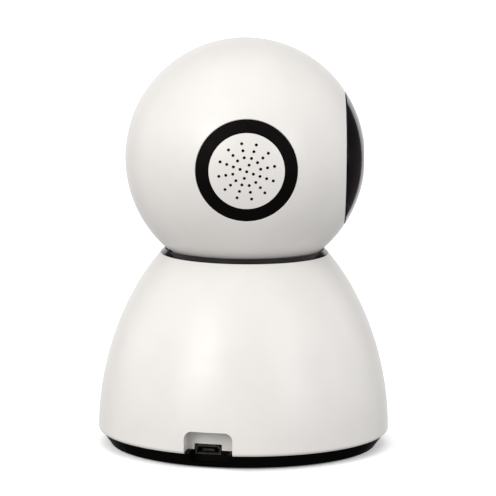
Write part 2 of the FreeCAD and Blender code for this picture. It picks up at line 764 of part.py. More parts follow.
def seam_bevel():
    """Ring that takes the sharp edge off the outside of the ball where the halves meet."""
    low_r, high_r = BALL_R - SEAM_BEVEL, BALL_R + 0.5
    return across(lathe([(low_r, -0.5), (high_r, -0.5), (high_r, SEAM_BEVEL + 0.5), (low_r, 0)]))


def face_bevel():
    """Cone that takes the sharp edge off the ball round the face."""
    rim_y = -sqrt(BALL_R**2 - FACE_R**2)
    depth = FACE_BEVEL * 0.75
    cone = Part.makeCone(FACE_R + 3 * FACE_BEVEL, FACE_R, 3 * depth, V(0, rim_y - 2 * depth, 0), V(0, 1, 0))
    return cone


def frame_boss():
    """Boss on the wall of the ball that takes the face frame's screw."""
    boss = rod("y", 2.3, FRAME_BACK, -17.5, (FRAME_LUG_X, 0))
    web = block((FRAME_LUG_X, 34), (FRAME_BACK, -17.5), (-0.8, 0.8))
    return boss.fuse(web).common(ball(BALL_R - 0.5))


def seam_bores(radius, low, high):
    return [rod("x", radius, low, high, polar(SEAM_BOSS_PLACE, a)) for a in SEAM_BOSS_ANGLES]


def head_shell_left():
    return lifted(ball_half_left().cut(seam_bores(0.9, 0, 9)))


def head_shell_right():
    half = mirrored(ball_half_left())
    return lifted(half.cut(seam_bores(0.9, -9, 0)))


def head_pins():
    """Steel dowels that press into the bosses of both halves."""
    pins = [rod("x", 0.9, -8.8, 8.8, polar(SEAM_BOSS_PLACE, a)) for a in SEAM_BOSS_ANGLES]
    return lifted(group(pins))


def ear_ring(side):
    ring = tube("x", EAR_RING_OUT, EAR_RING_IN, EAR_FLANGE_X, 40).common(ball(BALL_R))
    outer = [edge for edge in ring.Edges if edge.BoundBox.XMax > EAR_FLANGE_X + 0.5]
    ring = ring.makeFillet(RIM_ROUND, outer)
    return lifted(ring if side > 0 else mirrored(ring))


def grille_spots():
    """One hole in the middle, four round it, then three rings of twelve."""
    spots = [(0.0, 0.0)]
    spots += [polar(HOLE_PITCH, -19.5 + 90 * k) for k in range(4)]
    for ring in (2, 3, 4):
        spots += [polar(ring * HOLE_PITCH, 10.5 + 30 * k) for k in range(12)]
    return spots


def grille(side):
    """Disc that carries on the ball's surface, with a wall and a flange held under the ring."""
    edge_r = EAR_RING_IN - 0.05
    cap = rod("x", edge_r, EAR_SEAT_X, 40).common(ball(BALL_R))
    hollow = rod("x", edge_r - 1.0, EAR_SEAT_X, 40).common(ball(BALL_R - GRILLE_WALL))
    flange = tube("x", EAR_RING_OUT - 0.1, edge_r - 1.0, EAR_SEAT_X, EAR_FLANGE_X)
    piece = joined(cap.cut(hollow), flange)
    holes = [rod("x", HOLE_R, EAR_SEAT_X, 40, (-y, z)) for y, z in grille_spots()]
    piece = piece.cut(holes)
    return lifted(piece if side > 0 else mirrored(piece))


def speaker():
    """Small round loudspeaker behind the right-hand grille."""
    frame = tube("x", 12.9, 9.0, 29.8, EAR_SEAT_X)
    basket = rod("x", 10.0, 28.8, 29.9)
    magnet = rod("x", 7.0, 27.3, 28.9)
    cone = Part.makeCone(9.4, 4.0, 0.9, V(30.6, 0, 0), V(-1, 0, 0))
    return lifted(mirrored(joined(frame, basket, magnet, cone)))


def tilt_gear():
    turn = 90 - TILT_MOTOR_LEAN
    gear = across(spur_gear(TILT_TEETH, HUB_IN - ARM_OUT - 0.4, 6.0, turn))
    return lifted(moved(gear, ARM_OUT + 0.4))


# ---------------------------------------------------------------- face and electronics


def visor():
    cap = ball(BALL_R).cut(ball(VISOR_IN)).common(rod("y", VISOR_R, -40, VISOR_BACK))
    pad = rod("y", WINDOW_R + 1.6, VISOR_FLAT, -34.6).common(ball(BALL_R))
    cap = joined(cap.cut(block((-20, 20), (-40, VISOR_FLAT), (-20, 20))), pad)
    rim = tube("y", VISOR_R, VISOR_R - 1.4, -31.2, VISOR_BACK).common(ball(BALL_R))
    cap = joined(cap, rim)
    front_edges = [edge for edge in cap.Edges if abs(edge.BoundBox.XMax - VISOR_R) < 0.01]
    cap = cap.makeFillet(RIM_ROUND, [edge for edge in front_edges if edge.BoundBox.YMax < -30.5])
    return lifted(cap.cut([rod("y", WINDOW_R, -37, -35.3), rod("y", WINDOW_R - 0.7, -37, -33)]))


def lens_window():
    return lifted(rod("y", WINDOW_R - 0.05, VISOR_FLAT + 0.05, -35.3))


def front_frame():
    plate = rod("y", FRAME_R, FRAME_FRONT, FRAME_BACK)
    lugs = block((-23.2, 23.2), (FRAME_FRONT + 0.6, FRAME_BACK), (-3.0, 3.0))
    lugs = lugs.common(ball(BALL_IN - 0.2))
    posts = [rod("y", 2.0, FRAME_BACK, MAIN_FRONT, spot) for spot in STANDOFFS]
    pads = [rod("y", 1.4, LAMP_BOARD_BACK, FRAME_FRONT, spot) for spot in LAMP_BOARD_PADS]
    frame = joined(plate, lugs, *posts, *pads)
    cuts = [rod("y", 8.9, -30, -20)]
    cuts += [rod("y", 0.9, -14, MAIN_FRONT, spot) for spot in STANDOFFS]
    for side in (-1, 1):
        spot = (side * FRAME_LUG_X, 0)
        cuts += [rod("y", 1.2, -30, -20, spot), rod("y", 2.2, -30, FRAME_FRONT + 0.6, spot)]
    cuts += [rod("y", 0.7, LAMP_BOARD_BACK, FRAME_FRONT + 1.2, spot) for spot in LAMP_BOARD_PADS]
    return lifted(frame.cut(cuts))


def face_screws():
    """Two screws hold the frame to the ball, two small ones hold the lamp board."""
    lug = FRAME_FRONT + 0.6
    spots = [(side * FRAME_LUG_X, 0) for side in (-1, 1)]
    screws = [screw("y", lug - 1.0, lug, -18.5, spot, 1.9, 0.95) for spot in spots]
    board = LAMP_BOARD_FRONT
    screws += [screw("y", board - 0.8, board, -25.8, spot, 1.3, 0.65) for spot in LAMP_BOARD_PADS]
    return lifted(group(screws))


def main_board():
    board = block((-16.5, 16.5), (MAIN_FRONT, MAIN_BACK), (-18, 22))
    return lifted(board.cut([rod("y", 1.1, -10, -7, spot) for spot in STANDOFFS]))


def main_board_screws():
    screws = [screw("y", MAIN_BACK + 1.0, MAIN_BACK, -13.6, spot, 1.8, 0.85) for spot in STANDOFFS]
    return lifted(group(screws))


def main_board_parts():
    """Processor, memory, radio can, image sensor, card holder and cable sockets."""
    back, front = MAIN_BACK, MAIN_FRONT
    pieces = [
        block((-6.5, 6.5), (back, back + 1.0), (-6.5, 6.5)),
        block((-6, 2), (back, back + 1.0), (9, 15)),
        block((6, 14), (back, back + 2.0), (15, 21)),
        block((-10, -4), (back, back + 2.4), (-17, -13)),
        block((-1, 7), (back, back + 2.4), (-17, -13)),
        block((-10.5, 0.5), (front - 1.6, front), (10, 21.5)),
        block((-4.0, 4.0), (front - 1.0, front), (-3.2, 3.2)),
        block((-8, 8), (front - 2.0, front), (-17, -9)),
    ]
    return lifted(group(pieces))


def heatsink():
    base = block((-6.5, 6.5), (MAIN_BACK + 1.0, MAIN_BACK + 1.6), (-6.5, 6.5))
    fins = [block((x, x + 0.8), (MAIN_BACK + 1.6, MAIN_BACK + 2.8), (-6.5, 6.5)) for x in range(-6, 7, 2)]
    return lifted(joined(base, *fins))


def antenna():
    plate = block((2.0, 14.0), (-11.6, -10.8), (15.5, 26.0))
    foot = block((6, 10), (-10.8, MAIN_FRONT), (16, 20))
    return lifted(plate.fuse(foot))


def lens_holder():
    body = block((-10.6, 10.6), (HOLDER_FRONT, MAIN_FRONT), (-7.5, 7.5))
    socket = rod("y", 8.2, -24.0, HOLDER_FRONT)
    sensor_room = block((-5, 5), (-12.4, MAIN_FRONT), (-4, 4))
    slide_room = block((-9.2, 8.9), (FILTER_FRONT - 0.4, FILTER_BACK + 0.4), (-4.4, 4.4))
    light_way = rod("y", 4.0, HOLDER_FRONT, -12.0)
    thread = rod("y", 6.05, -24.0, -17.0)
    return lifted(joined(body, socket).cut([sensor_room, slide_room, light_way, thread]))


def ir_cut_filter():
    """Sliding frame with a clear window and an infrared-blocking window side by side."""
    plate = block((-3.7, 8.5), (FILTER_FRONT, FILTER_BACK), (-3.9, 3.9))
    return lifted(plate.cut([rod("y", 2.2, -16, -12, (x, 0)) for x in (0, FILTER_TRAVEL)]))


def filter_glasses():
    front, back = FILTER_FRONT + 0.3, FILTER_BACK - 0.3
    return lifted(group([rod("y", 2.15, front, back, (x, 0)) for x in (0, FILTER_TRAVEL)]))


def lens_barrel():
    barrel = joined(rod("y", 6.0, -25.0, -17.2), rod("y", BARREL_R, BARREL_FRONT, -25.0))
    bore = [rod("y", 4.2, -31.5, -17), Part.makeCone(6.1, 4.2, 2.4, V(0, BARREL_FRONT, 0), V(0, 1, 0))]
    grooves = [tube("y", BARREL_R + 1, BARREL_R - 0.3, y, y + 0.5) for y in (-33.0, -32.0, -31.0)]
    return lifted(barrel.cut(bore).cut(grooves))


def lens_elements():
    """Front meniscus and two inner glasses held in the barrel."""
    front = ball(9.0)
    front.translate(V(0, -24.0, 0))
    front = front.common(rod("y", 4.15, -34, -31.4))
    middle = rod("y", 4.15, -28.0, -25.5)
    rear = rod("y", 4.15, -21.0, -19.0)
    return lifted(group([front, middle, rear]))


def light_seal():
    """Rubber sleeve between the lens and the visor; keeps lamp light out of the lens."""
    return lifted(tube("y", 8.4, BARREL_R + 0.1, -34.2, -28.6))


def ir_led_board():
    board = tube("y", 16.0, 8.6, LAMP_BOARD_FRONT, LAMP_BOARD_BACK)
    return lifted(board.cut([rod("y", 0.8, -30, -26, spot) for spot in LAMP_BOARD_PADS]))


def lamp_spots():
    return [polar(LAMP_RING, 22.5 + 360 / LAMP_COUNT * k) for k in range(LAMP_COUNT)]


def ir_leds():
    """Square surface-mount lamps with domed fronts, in a ring round the lens."""
    lamps = []
    for x, z in lamp_spots():
        body = block((x - 1.4, x + 1.4), (LAMP_BOARD_FRONT - 1.0, LAMP_BOARD_FRONT), (z - 1.4, z + 1.4))
        dome = Part.makeSphere(1.2, V(x, LAMP_BOARD_FRONT - 0.7, z))
        front = block((x - 2, x + 2), (LAMP_BOARD_FRONT - 3, LAMP_BOARD_FRONT - 0.5), (z - 2, z + 2))
        lamps.append(joined(body, dome.common(front)))
    return lifted(group(lamps))


def face_sensors():
    """Light sensor, status lamp and microphone on the lamp board."""
    front = LAMP_BOARD_FRONT
    pieces = [
        rod("y", 1.2, front - 1.2, front, (0, 11.2)),
        rod("y", 1.2, front - 1.2, front, (0, -11.2)),
        rod("y", 2.0, front - 1.2, front, (-13.4, 0)),
    ]
    return lifted(group(pieces))


# ---------------------------------------------------------------- one file for each piece

PIECES = {
    "base_shell": base_shell,
    "bottom_cover": bottom_cover,
    "rubber_feet": rubber_feet,
    "cover_screws": cover_screws,
    "tripod_insert": tripod_insert,
    "collar_ring": collar_ring,
    "power_board": power_board,
    "power_board_parts": power_board_parts,
    "board_screws": board_screws,
    "usb_socket_shell": usb_socket_shell,
    "usb_socket_tongue": usb_socket_tongue,
    "reset_switch": reset_switch,
    "reset_button": reset_button,
    "deck_plate": deck_plate,
    "deck_screws": deck_screws,
    "thrust_washer": thrust_washer,
    "pan_motor": pan_motor,
    "pan_motor_screws": pan_motor_screws,
    "pan_motor_shaft": pan_motor_shaft,
    "pan_pinion": pan_pinion,
    "turntable_disc": turntable_disc,
    "pan_gear": pan_gear,
    "pan_retaining_ring": pan_retaining_ring,
    "yoke_bracket": yoke_bracket,
    "yoke_screws": yoke_screws,
    "neck_cable": neck_cable,
    "slot_shield": slot_shield,
    "tilt_motor": tilt_motor,
    "tilt_motor_screws": tilt_motor_screws,
    "tilt_motor_shaft": tilt_motor_shaft,
    "tilt_pinion": tilt_pinion,
    "trunnion_washers": trunnion_washers,
    "trunnion_screws": trunnion_screws,
    "head_shell_left": head_shell_left,
    "head_shell_right": head_shell_right,
    "head_pins": head_pins,
    "ear_ring_left": lambda: ear_ring(1),
    "ear_ring_right": lambda: ear_ring(-1),
    "grille_left": lambda: grille(1),
    "grille_right": lambda: grille(-1),
    "speaker": speaker,
    "tilt_gear": tilt_gear,
    "visor": visor,
    "lens_window": lens_window,
    "front_frame": front_frame,
    "face_screws": face_screws,
    "main_board": main_board,
    "main_board_screws": main_board_screws,
    "main_board_parts": main_board_parts,
    "heatsink": heatsink,
    "antenna": antenna,
    "lens_holder": lens_holder,
    "ir_cut_filter": ir_cut_filter,
    "filter_glasses": filter_glasses,
    "lens_barrel": lens_barrel,
    "lens_elements": lens_elements,
    "light_seal": light_seal,
    "ir_led_board": ir_led_board,
    "ir_leds": ir_leds,
    "face_sensors": face_sensors,
}

os.makedirs("parts", exist_ok=True)
for name, make in PIECES.items():
    make().exportStep(f"parts/{name}.step")
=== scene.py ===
import bmesh
import bpy
import numpy as np
from mathutils import Matrix, Vector


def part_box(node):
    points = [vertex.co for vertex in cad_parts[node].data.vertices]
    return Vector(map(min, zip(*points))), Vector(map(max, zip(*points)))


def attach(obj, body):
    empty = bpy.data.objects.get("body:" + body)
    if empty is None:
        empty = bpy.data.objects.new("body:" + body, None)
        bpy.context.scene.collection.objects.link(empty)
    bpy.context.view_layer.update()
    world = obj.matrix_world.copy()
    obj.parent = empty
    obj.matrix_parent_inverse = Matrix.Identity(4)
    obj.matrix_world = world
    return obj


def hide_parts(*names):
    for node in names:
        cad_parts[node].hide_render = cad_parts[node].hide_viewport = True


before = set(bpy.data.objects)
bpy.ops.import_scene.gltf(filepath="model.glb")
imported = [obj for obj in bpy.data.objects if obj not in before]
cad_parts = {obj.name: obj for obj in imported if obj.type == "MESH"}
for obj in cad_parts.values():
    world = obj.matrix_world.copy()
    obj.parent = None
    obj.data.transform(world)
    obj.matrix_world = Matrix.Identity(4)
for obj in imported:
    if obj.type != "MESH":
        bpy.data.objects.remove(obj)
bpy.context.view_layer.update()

# -- Bottom cover -----------------------------------------------------------------------------
# A shallow black tray moulded in satin ABS. It closes the base from below, flares out to meet
# the white shell, and its short tab with a notch makes the lower half of the power inlet.


def new_finish(name, colour, roughness, **settings):
    """Material with one Principled shader; settings are its sockets, underscores for spaces."""
    finish = bpy.data.materials.new(name)
    finish.use_nodes = True
    shader = finish.node_tree.nodes["Principled BSDF"]
    shader.inputs["Base Color"].default_value = (*colour, 1)
    shader.inputs["Roughness"].default_value = roughness
    for socket, value in settings.items():
        shader.inputs[socket.replace("_", " ")].default_value = value
    return finish, shader


def clouds(shader, size, detail=3.0, stretch=(1, 1, 1), shift=(0, 0, 0)):
    """Soft noise on object coordinates with blobs about size metres across, 0 to 1."""
    tree = shader.id_data
    place = tree.nodes.new("ShaderNodeTexCoord")
    mapping = tree.nodes.new("ShaderNodeMapping")
    mapping.inputs["Location"].default_value = shift
    mapping.inputs["Scale"].default_value = [1 / (size * amount) for amount in stretch]
    noise = tree.nodes.new("ShaderNodeTexNoise")
    noise.inputs["Scale"].default_value = 1.0
    noise.inputs["Detail"].default_value = detail
    tree.links.new(place.outputs["Object"], mapping.inputs["Vector"])
    tree.links.new(mapping.outputs["Vector"], noise.inputs["Vector"])
    return noise.outputs["Fac"]


def remap(shader, factor, start, end, low, high):
    """Straight line from low at factor start to high at factor end, held level beyond."""
    tree = shader.id_data
    line = tree.nodes.new("ShaderNodeMapRange")
    for socket, value in zip(("From Min", "From Max", "To Min", "To Max"), (start, end, low, high)):
        line.inputs[socket].default_value = value
    tree.links.new(factor, line.inputs["Value"])
    return line.outputs["Result"]


def tint(shader, factor, first, second):
    """Adds to the base colour: the colour goes from first at factor 0 to second at 1."""
    tree = shader.id_data
    ramp = tree.nodes.new("ShaderNodeValToRGB")
    ramp.color_ramp.elements[0].color = (*first, 1)
    ramp.color_ramp.elements[1].color = (*second, 1)
    tree.links.new(factor, ramp.inputs["Fac"])
    tree.links.new(ramp.outputs["Color"], shader.inputs["Base Color"])


def polish(shader, factor, low, high):
    """Roughness from low to high over the middle of a noise."""
    tree = shader.id_data
    tree.links.new(remap(shader, factor, 0.3, 0.7, low, high), shader.inputs["Roughness"])


def relief(shader, factor, depth):
    """Raises the surface by depth metres where the factor is 1, on top of earlier relief."""
    tree = shader.id_data
    bump = tree.nodes.new("ShaderNodeBump")
    bump.inputs["Distance"].default_value = depth
    tree.links.new(factor, bump.inputs["Height"])
    if shader.inputs["Normal"].links:
        tree.links.new(shader.inputs["Normal"].links[0].from_socket, bump.inputs["Normal"])
    tree.links.new(bump.outputs["Normal"], shader.inputs["Normal"])


def moulded(name, colour, roughness, spark, depth, **settings):
    """Moulded plastic: faint flow clouds in its colour, a spark texture with grains spark
    metres across and depth metres high, and gloss that changes a little over millimetres."""
    finish, shader = new_finish(name, colour, roughness, **settings)
    colour = np.array(colour)
    flow = remap(shader, clouds(shader, 0.016, 4.0), 0.3, 0.7, 0, 1)
    tint(shader, flow, colour * 0.975, colour * 1.02)
    polish(shader, clouds(shader, 0.0035, 2.0, shift=(3, 1, 2)), roughness * 0.9, roughness * 1.1)
    relief(shader, clouds(shader, 0.009, 2.0, shift=(7, 5, 1)), 0.00002)
    relief(shader, clouds(shader, spark, 2.0), depth)
    return finish


def dress(finish, *names):
    """Gives CAD nodes this finish in every material slot."""
    for name in names:
        for material_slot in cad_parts[name].material_slots:
            material_slot.material = finish


satin_black = moulded(
    "satin_black", (0.0028, 0.0023, 0.002), 0.55, 0.00022, 0.00001, Specular_IOR_Level=0.05
)
dress(satin_black, "bottom_cover")

# -- Rubber feet ------------------------------------------------------------------------------
# Four round pads of black rubber, pressed into seats over the cover screws. Their faces are
# slightly crowned and carry three fine rings so that they grip a smooth table.

foot_radius, foot_high = 0.0045, 0.00095
foot_bevel, foot_corner = 0.0001, 0.0005
grip_inner, grip_outer, grip_high = 0.001, 0.004, 0.00007
crown_high = 0.00003
feet_circle = 0.036
feet_turns = np.radians([45, 135, 225, 315])


def skin(name, grids, finish, body, sharp=40, wrap_rows=True):
    """Mesh over stacked point grids (piece, row, column). Columns close on themselves, and so
    do rows unless wrap_rows is false; equal points at poles are merged and normals turned out."""
    pieces, rows, columns = grids.shape[:3]
    index = np.arange(pieces * rows * columns).reshape(pieces, rows, columns)
    below = index if wrap_rows else index[:, :-1]
    above = np.roll(index, -1, axis=1) if wrap_rows else index[:, 1:]
    faces = np.stack([below, np.roll(below, -1, axis=2), np.roll(above, -1, axis=2), above], axis=-1)
    mesh = bpy.data.meshes.new(name)
    mesh.from_pydata(grids.reshape(-1, 3).tolist(), [], faces.reshape(-1, 4).tolist())
    shape = bmesh.new()
    shape.from_mesh(mesh)
    bmesh.ops.remove_doubles(shape, verts=shape.verts, dist=2e-7)
    bmesh.ops.dissolve_degenerate(shape, edges=shape.edges, dist=1e-8)
    bmesh.ops.recalc_face_normals(shape, faces=shape.faces)
    shape.to_mesh(mesh)
    shape.free()
    mesh.polygons.foreach_set("use_smooth", np.ones(len(mesh.polygons), dtype=bool))
    mesh.set_sharp_from_angle(angle=np.radians(sharp))
    mesh.materials.append(finish)
    piece = bpy.data.objects.new(name, mesh)
    bpy.context.scene.collection.objects.link(piece)
    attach(piece, body)
    return piece


def turned(radius, height, columns=64):
    """Profile turned about Z: (radius cos a, radius sin a, height) for the angle a round."""
    angle = np.linspace(0, 2 * np.pi, columns, endpoint=False)
    radius, height = np.asarray(radius)[:, None], np.asarray(height)[:, None]
    return np.stack([radius * np.cos(angle), radius * np.sin(angle), height + 0 * angle], axis=-1)


def pad_profile():
    """Flat top, bevel, side, rounded lower corner, then a face with rings: height is a shallow
    crown plus a cosine ripple of three waves between two radii."""
    inward = np.linspace(foot_radius - foot_corner, 0, 48)
    waves = 1 - np.cos((inward - grip_inner) / (grip_outer - grip_inner) * 6 * np.pi)
    ripple = np.where((inward > grip_inner) & (inward < grip_outer), grip_high * waves, 0)
    face = ripple + crown_high * (inward / foot_radius) ** 2
    corner = np.linspace(0, np.pi / 2, 9)
    corner_r = foot_radius - foot_corner + foot_corner * np.cos(corner)
    corner_z = foot_corner * (1 - np.sin(corner))
    radius = np.concatenate([[0, foot_radius - foot_bevel, foot_radius], corner_r, inward[1:]])
    height = np.concatenate([[foot_high, foot_high, foot_high - foot_bevel], corner_z, face[1:]])
    return radius, height


rubber = moulded("rubber", (0.018, 0.018, 0.018), 0.72, 0.00012, 0.00001, Specular_IOR_Level=0.35)
pad_centres = feet_circle * np.stack([np.cos(feet_turns), np.sin(feet_turns), 0 * feet_turns], axis=-1)
pads = turned(*pad_profile())[None] + pad_centres[:, None, None, :]
feet = skin("grip_feet", pads, rubber, "base", wrap_rows=False)
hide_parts("rubber_feet")

# -- Screws and washers -----------------------------------------------------------------------
# Pan-head steel screws of several sizes, turned and zinc-plated, with the dull blue-grey bloom
# of the plating, and plain steel dowels pressed into the halves of the ball.

zinc, zinc_shader = new_finish("zinc_plate", (0.56, 0.57, 0.6), 0.3, Metallic=1.0)
tint(zinc_shader, clouds(zinc_shader, 0.0012, 4.0), (0.43, 0.44, 0.48), (0.66, 0.66, 0.66))
polish(zinc_shader, clouds(zinc_shader, 0.0006, 3.0, shift=(2, 2, 2)), 0.22, 0.42)
relief(zinc_shader, clouds(zinc_shader, 0.00015, 2.0), 0.000004)
dress(zinc, "cover_screws", "board_screws", "deck_screws", "pan_motor_screws", "yoke_screws")
dress(zinc, "tilt_motor_screws", "trunnion_screws", "face_screws", "main_board_screws", "head_pins")

# -- Tripod bush ------------------------------------------------------------------------------
# A turned brass bush moulded into the middle of the cover, with a quarter-inch camera thread
# inside and three grooves outside that the plastic grips.

bush_low, bush_high, bush_radius = 0.0007, 0.0091, 0.0039
bore_radius = 0.00255
thread_depth, thread_pitch, thread_fade = 0.0005, 0.00127, 0.0005
groove_tops, groove_high, groove_radius = np.array([0.0075, 0.0055, 0.0035]), 0.0005, 0.0036


def threaded_bush():
    """Inside: bore plus depth times a triangle wave, cut flat at its tops and roots, of height
    over pitch minus turn. Towards both mouths it fades into a plain hole of bore plus depth.
    Outside: a cylinder with three square grooves."""
    angle = np.linspace(0, 2 * np.pi, 72, endpoint=False)
    height = np.linspace(bush_low, bush_high, 150)[:, None]
    phase = (height / thread_pitch - angle / (2 * np.pi)) % 1.0
    lower, upper = (height - bush_low) / thread_fade, (bush_high - height) / thread_fade
    mouth = np.clip(lower, 0, 1) * np.clip(upper, 0, 1)
    wave = np.clip(1.25 - 2.5 * np.abs(2 * phase - 1), 0, 1)
    inside = bore_radius + thread_depth * (1 - mouth) + thread_depth * mouth * wave
    steps = groove_tops[:, None] - groove_high * np.array([0, 0, 1, 1])
    outside_z = np.concatenate([[bush_high], steps.ravel(), [bush_low]])[:, None]
    groove = [bush_radius, groove_radius, groove_radius, bush_radius]
    outside_r = np.concatenate([[bush_radius], groove * len(groove_tops), [bush_radius]])[:, None]
    radius = np.concatenate([inside, outside_r + 0 * angle])
    level = np.concatenate([height + 0 * angle, outside_z + 0 * angle])
    return np.stack([radius * np.cos(angle), radius * np.sin(angle), level], axis=-1)[None]


brass, brass_shader = new_finish("turned_brass", (0.72, 0.5, 0.2), 0.25, Metallic=1.0)
tint(brass_shader, clouds(brass_shader, 0.002, 4.0), (0.6, 0.4, 0.15), (0.8, 0.58, 0.26))
polish(brass_shader, clouds(brass_shader, 0.0004, 3.0), 0.18, 0.34)
relief(brass_shader, clouds(brass_shader, 0.0001, 1.0, stretch=(20, 20, 1)), 0.000004)
bush = skin("tripod_bush", threaded_bush(), brass, "base", sharp=30)
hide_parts("tripod_insert")

# -- Power inlet ------------------------------------------------------------------------------
# A micro-USB socket: a folded nickel-plated steel shell with a flared lip, a black tongue
# inside it, and five gold-plated contacts lying in the tongue's upper face.

inlet_turn = np.radians(165.5)
contact_pitch = 0.00065
contact_x, contact_middle, contact_z = 0.0368, -0.0013, 0.00516
contact_half = np.array([0.0014, 0.00015, 0.00005])


def soft_box(centres, halves, power=8.0, rows=14, columns=24):
    """Box with soft edges: a sphere's cosines and sines raised to 2 over power, keeping sign,
    times the half sizes. Centres and halves are arrays of one row for each box."""
    def bent(values):
        return np.sign(values) * np.abs(values) ** (2 / power)

    up = np.linspace(-np.pi / 2, np.pi / 2, rows)[:, None]
    around = np.linspace(0, 2 * np.pi, columns, endpoint=False)
    x, y = bent(np.cos(up)) * bent(np.cos(around)), bent(np.cos(up)) * bent(np.sin(around))
    unit = np.stack([x, y, bent(np.sin(up)) + 0 * around], axis=-1)
    return np.atleast_2d(centres)[:, None, None, :] + unit[None] * np.atleast_2d(halves)[:, None, None, :]


def about_z(points, turn):
    """Points turned about the Z axis by an angle in radians."""
    cos, sin = np.cos(turn), np.sin(turn)
    return points @ np.array([[cos, sin, 0], [-sin, cos, 0], [0, 0, 1]])


# The nickel's colour and its tint are painted dark, far below the metal's own brightness: painted shade and
# dark reflection standing in for how the socket lip looks deep in the inlet recess. The antenna shares this
# darkened finish.
nickel, nickel_shader = new_finish("nickel_painted_dark", (0.2, 0.2, 0.195), 0.3, Metallic=1.0)
tint(nickel_shader, clouds(nickel_shader, 0.0015, 3.0), (0.15, 0.15, 0.147), (0.25, 0.245, 0.24))
polish(nickel_shader, clouds(nickel_shader, 0.0007, 3.0), 0.24, 0.38)
relief(nickel_shader, clouds(nickel_shader, 0.0002, 2.0), 0.000002)
dress(nickel, "usb_socket_shell")
dark_moulding = moulded(
    "dark_moulding", (0.014, 0.014, 0.015), 0.45, 0.0002, 0.000006, Specular_IOR_Level=0.4
)
dress(dark_moulding, "usb_socket_tongue")
gold, gold_shader = new_finish("gold_flash", (0.85, 0.6, 0.25), 0.2, Metallic=1.0)
polish(gold_shader, clouds(gold_shader, 0.0003, 2.0), 0.14, 0.3)
tint(gold_shader, clouds(gold_shader, 0.0008, 2.0), (0.78, 0.53, 0.2), (0.9, 0.66, 0.3))
contact_y = contact_middle + contact_pitch * np.array([-2, -1, 0, 1, 2])
contact_places = np.stack([np.full(5, contact_x), contact_y, np.full(5, contact_z)], axis=-1)
contacts = about_z(soft_box(contact_places, np.tile(contact_half, (5, 1))), inlet_turn)
skin("socket_contacts", contacts, gold, "base", wrap_rows=False)

# -- Power board ------------------------------------------------------------------------------
# A small glass-epoxy board on three posts, green solder mask over copper tracks, with a
# regulator, a coil, two can capacitors, two cable sockets and the reset switch.


def circuit_board(name, mask, track):
    """Solder mask: the edges of square-ish cells show as raised tracks under the mask, and the
    centres of smaller cells as plated holes."""
    finish, shader = new_finish(name, mask, 0.35, Coat_Weight=0.25, Coat_Roughness=0.2)
    tree = shader.id_data
    place = tree.nodes.new("ShaderNodeTexCoord")
    cells = tree.nodes.new("ShaderNodeTexVoronoi")
    cells.feature = "DISTANCE_TO_EDGE"
    cells.inputs["Scale"].default_value = 420
    cells.inputs["Randomness"].default_value = 0.55
    holes = tree.nodes.new("ShaderNodeTexVoronoi")
    holes.inputs["Scale"].default_value = 330
    tree.links.new(place.outputs["Object"], cells.inputs["Vector"])
    tree.links.new(place.outputs["Object"], holes.inputs["Vector"])
    lines = remap(shader, cells.outputs["Distance"], 0.05, 0.09, 1, 0)
    tint(shader, lines, mask, track)
    relief(shader, lines, 0.00003)
    relief(shader, remap(shader, holes.outputs["Distance"], 0.1, 0.14, 0, 1), 0.00004)
    polish(shader, clouds(shader, 0.002, 3.0), 0.28, 0.42)
    return finish


green_board = circuit_board("green_board", (0.006, 0.075, 0.028), (0.02, 0.15, 0.06))
dress(green_board, "power_board")
component_black = moulded("component_black", (0.02, 0.02, 0.021), 0.5, 0.00015, 0.000008)
dress(component_black, "power_board_parts", "reset_switch")

# -- Reset button -----------------------------------------------------------------------------
# A short white plunger, moulded in acetal. It slides in a hole of the cover, under the reset
# switch that it presses.

acetal = moulded("acetal", (0.74, 0.72, 0.66), 0.38, 0.0003, 0.000006)
dress(acetal, "reset_button")

# -- Deck and pan drive -----------------------------------------------------------------------
# A round black deck screwed up under the dome carries the bearing hub, an acetal thrust
# washer and a small geared stepper motor whose pinion turns the head from below.

dress(dark_moulding, "deck_plate")
dress(acetal, "thrust_washer", "pan_pinion", "pan_gear", "pan_retaining_ring")
sheet_steel, sheet_shader = new_finish("plated_sheet", (0.6, 0.6, 0.6), 0.3, Metallic=1.0)
tint(sheet_shader, clouds(sheet_shader, 0.006, 4.0), (0.48, 0.48, 0.49), (0.68, 0.67, 0.65))
polish(sheet_shader, clouds(sheet_shader, 0.0008, 3.0, stretch=(1, 1, 12)), 0.2, 0.45)
relief(sheet_shader, clouds(sheet_shader, 0.0002, 2.0, stretch=(1, 1, 15)), 0.000004)
dress(sheet_steel, "pan_motor", "pan_motor_shaft", "tilt_motor", "tilt_motor_shaft")

# -- Turntable and yoke -----------------------------------------------------------------------
# A black disc turns on the hub and carries the yoke, whose two arms hold the ball on short
# trunnions. A curved shield on the yoke keeps the slot under the ball dark.

dress(dark_moulding, "turntable_disc", "yoke_bracket", "slot_shield")
dress(acetal, "tilt_pinion", "tilt_gear", "trunnion_washers")

# -- Neck cable -------------------------------------------------------------------------------
# Five thin stranded wires twisted together run up the hollow neck from the power board to
# the head, each in its own colour of matt PVC.

wire_radius = 0.00066
lay_radius = 0.00155
lay_length = 0.024
cable_low, cable_high = (float(corner[2]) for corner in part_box("neck_cable"))


def twisted_wire(phase):
    """Tube on a helix: centre at lay radius and angle phase plus one turn in each lay length,
    and a ring of wire radius round it, drawn in to a pole at both ends."""
    height = np.linspace(cable_low, cable_high, 70)[:, None]
    height = np.concatenate([height[:1], height, height[-1:]])
    width = np.full_like(height, wire_radius)
    width[[0, -1]] = 0
    turn = phase + 2 * np.pi * height / lay_length
    around = np.linspace(0, 2 * np.pi, 14, endpoint=False)
    x = lay_radius * np.cos(turn) + width * np.cos(around)
    y = lay_radius * np.sin(turn) + width * np.sin(around)
    return np.stack([x, y, height + 0 * around], axis=-1)[None]


